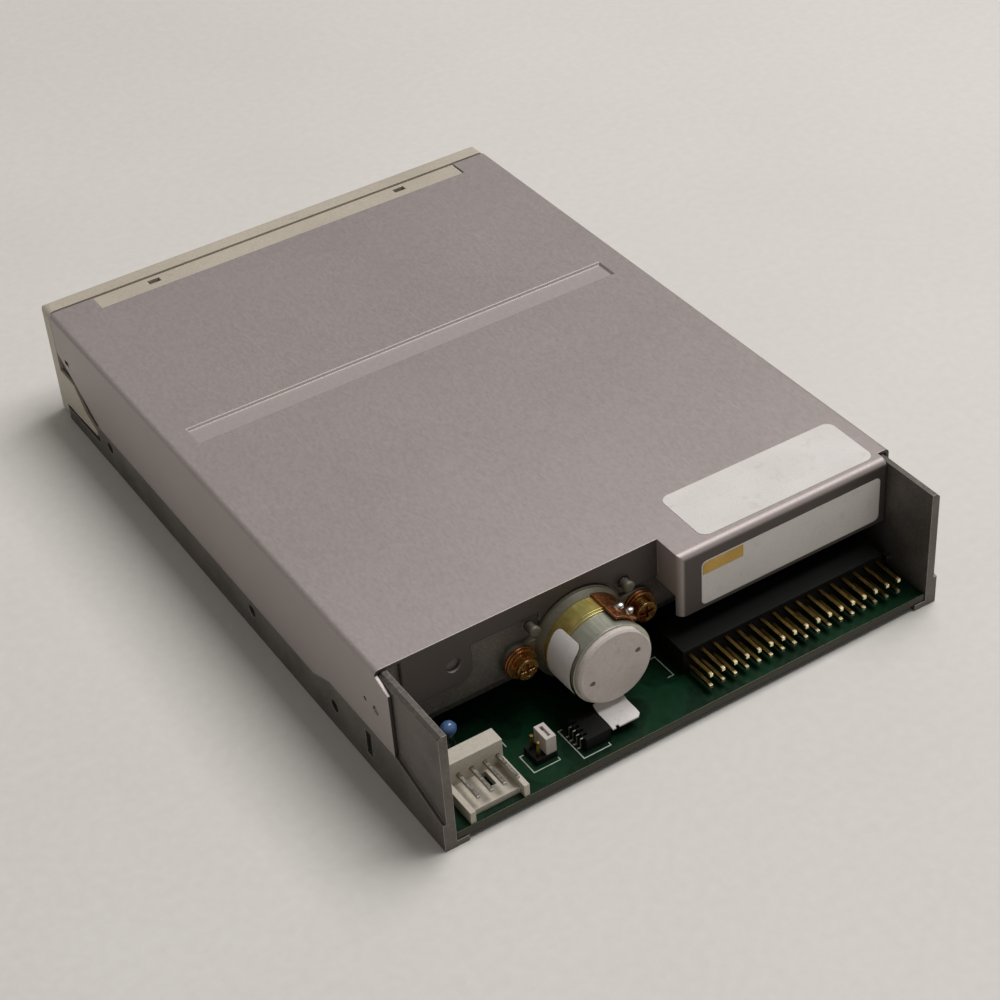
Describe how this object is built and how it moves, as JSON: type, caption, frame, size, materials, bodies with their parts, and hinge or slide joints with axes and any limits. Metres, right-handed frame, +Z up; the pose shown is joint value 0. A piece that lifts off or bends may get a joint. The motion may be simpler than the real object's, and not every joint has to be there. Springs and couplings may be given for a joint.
{
  "type": "internal floppy disk drive",
  "caption": "Internal floppy disk drive: cast frame and sheet-steel cover over a sprung disk holder, spindle motor, and heads on a lead screw, with signal and power connectors.",
  "frame": {"origin": "middle of the bottom of the part's box, with no disk in and the button at rest", "axes": "+Z up through the cover, -Y toward the bezel, +Y toward the connectors"},
  "size_m": [0.1016, 0.1518, 0.0254],
  "materials": {
    "cast_aluminium": "die cast, lightly grained",
    "zinc_steel": "zinc-plated sheet",
    "cream_plastic": "moulded",
    "white_plastic": "moulded",
    "black_plastic": "moulded",
    "carriage_plastic": "filled, moulded",
    "green_board": "solder mask over glass fibre",
    "motor_board_steel": "lacquered steel board",
    "gold_pin": "gold plated",
    "tin_pin": "tin plated",
    "yellow_zinc": "yellow-passivated zinc",
    "steel": "ground",
    "copper": "bare copper alloy",
    "magnet": "sintered",
    "blue_epoxy": "dipped",
    "lamp_plastic": "tinted, clear",
    "amber_film": "polyimide"
  },
  "bodies": {
    "chassis": {"frame": "cast_aluminium", "side_walls": "cast_aluminium", "top_cover": "zinc_steel", "front_bezel": "cream_plastic", "door_spring": "steel", "eject_springs": "steel", "stator": "copper", "spindle_bearing": "gold_pin", "motor_board": "motor_board_steel", "board_screws": "yellow_zinc", "stepper_flange": "yellow_zinc", "stepper_front_cup": "yellow_zinc", "stepper_rear_cup": "zinc_steel", "stepper_end_cap": "white_plastic", "stepper_screws": "copper", "stepper_clip": "copper", "guide_rods": "steel", "head_flex": "amber_film", "track_sensor": "black_plastic", "main_board": "green_board", "signal_header": "black_plastic", "signal_pins": "gold_pin", "power_socket": "cream_plastic", "power_pins": "tin_pin", "jumper_header": "black_plastic", "jumper_pins": "gold_pin", "option_header": "black_plastic", "stepper_flex": "white_plastic", "disc_capacitor": "blue_epoxy", "board_chips": "black_plastic", "front_board": "green_board", "switch_bodies": "black_plastic", "activity_led": "lamp_plastic", "led_window": "lamp_plastic"},
    "eject_slider": {"slide_plate": "zinc_steel", "eject_button": "cream_plastic"},
    "holder": {"disk_holder": "zinc_steel", "holder_rollers": "steel", "lever_rivet": "steel", "lever_spring": "steel"},
    "lever": {"shutter_lever": "zinc_steel"},
    "door": {"dust_door": "cream_plastic"},
    "spindle": {"spindle_hub": "steel", "rotor_pan": "zinc_steel", "rotor_magnet": "magnet"},
    "chuck_pin": {"drive_pin": "steel"},
    "carriage": {"head_carriage": "carriage_plastic", "lower_head": "black_plastic", "follower_needle": "steel", "arm_pin": "steel", "arm_spring": "steel"},
    "arm": {"upper_arm": "carriage_plastic", "upper_head": "black_plastic"},
    "screw": {"lead_screw": "steel", "stepper_rotor": "magnet"},
    "write_protect": {"write_protect_plunger": "white_plastic"},
    "disk_in": {"disk_in_plunger": "white_plastic"},
    "density": {"density_plunger": "white_plastic"},
    "jumper": {"jumper_cap": "white_plastic"}
  },
  "joints": [
    {"name": "eject_slide", "type": "slide", "parent": "chassis", "child": "eject_slider", "axis": [0, -1, 0], "range_m": [0, 0.006], "deforming": ["eject_springs"]},
    {"name": "holder_drop", "type": "slide", "parent": "chassis", "child": "holder", "axis": [0, 0, -1], "range_m": [0, 0.0025]},
    {"name": "lever_swing", "type": "hinge", "parent": "holder", "child": "lever", "pos_m": [-0.04, -0.01015, 0.0192], "axis": [0, 0, 1], "range_deg": [0, 65], "stiffness_Nm_per_rad": 0.004, "springref_deg": -11.46, "deforming": ["lever_spring"]},
    {"name": "door_swing", "type": "hinge", "parent": "chassis", "child": "door", "pos_m": [0, -0.07225, 0.018], "axis": [1, 0, 0], "range_deg": [0, 80], "stiffness_Nm_per_rad": 0.0006, "springref_deg": -17.19, "deforming": ["door_spring"]},
    {"name": "spindle_spin", "type": "hinge", "parent": "chassis", "child": "spindle", "pos_m": [0, -0.02515, 0.005], "axis": [0, 0, 1], "continuous": true},
    {"name": "drive_pin_press", "type": "slide", "parent": "spindle", "child": "chuck_pin", "axis": [0, 0, -1], "range_m": [0, 0.0008], "stiffness_N_per_m": 150},
    {"name": "head_travel", "type": "slide", "parent": "chassis", "child": "carriage", "axis": [0, -1, 0], "range_m": [0, 0.0148], "deforming": ["head_flex"]},
    {"name": "screw_turn", "type": "hinge", "parent": "chassis", "child": "screw", "pos_m": [0.0124, 0.03985, 0.0136], "axis": [0, 1, 0], "range_deg": [0, 1780]},
    {"name": "arm_load", "type": "hinge", "parent": "carriage", "child": "arm", "pos_m": [0, 0.04785, 0.017], "axis": [1, 0, 0], "range_deg": [0, 8.6], "deforming": ["arm_spring"]},
    {"name": "write_protect_press", "type": "slide", "parent": "chassis", "child": "write_protect", "axis": [0, 0, -1], "range_m": [0, 0.0009], "stiffness_N_per_m": 150},
    {"name": "disk_in_press", "type": "slide", "parent": "chassis", "child": "disk_in", "axis": [0, 0, -1], "range_m": [0, 0.0009], "stiffness_N_per_m": 150},
    {"name": "density_press", "type": "slide", "parent": "chassis", "child": "density", "axis": [0, 0, -1], "range_m": [0, 0.0009], "stiffness_N_per_m": 150},
    {"name": "jumper_pull", "type": "slide", "parent": "chassis", "child": "jumper", "axis": [0, 0, 1], "range_m": [0, 0.008]}
  ],
  "couplings": [
    {"joint": "holder_drop", "follows": "eject_slide", "ratio": 0.4},
    {"joint": "arm_load", "follows": "eject_slide", "rad_per_m": 24.726},
    {"joint": "screw_turn", "follows": "head_travel", "rad_per_m": 2094.4}
  ]
}
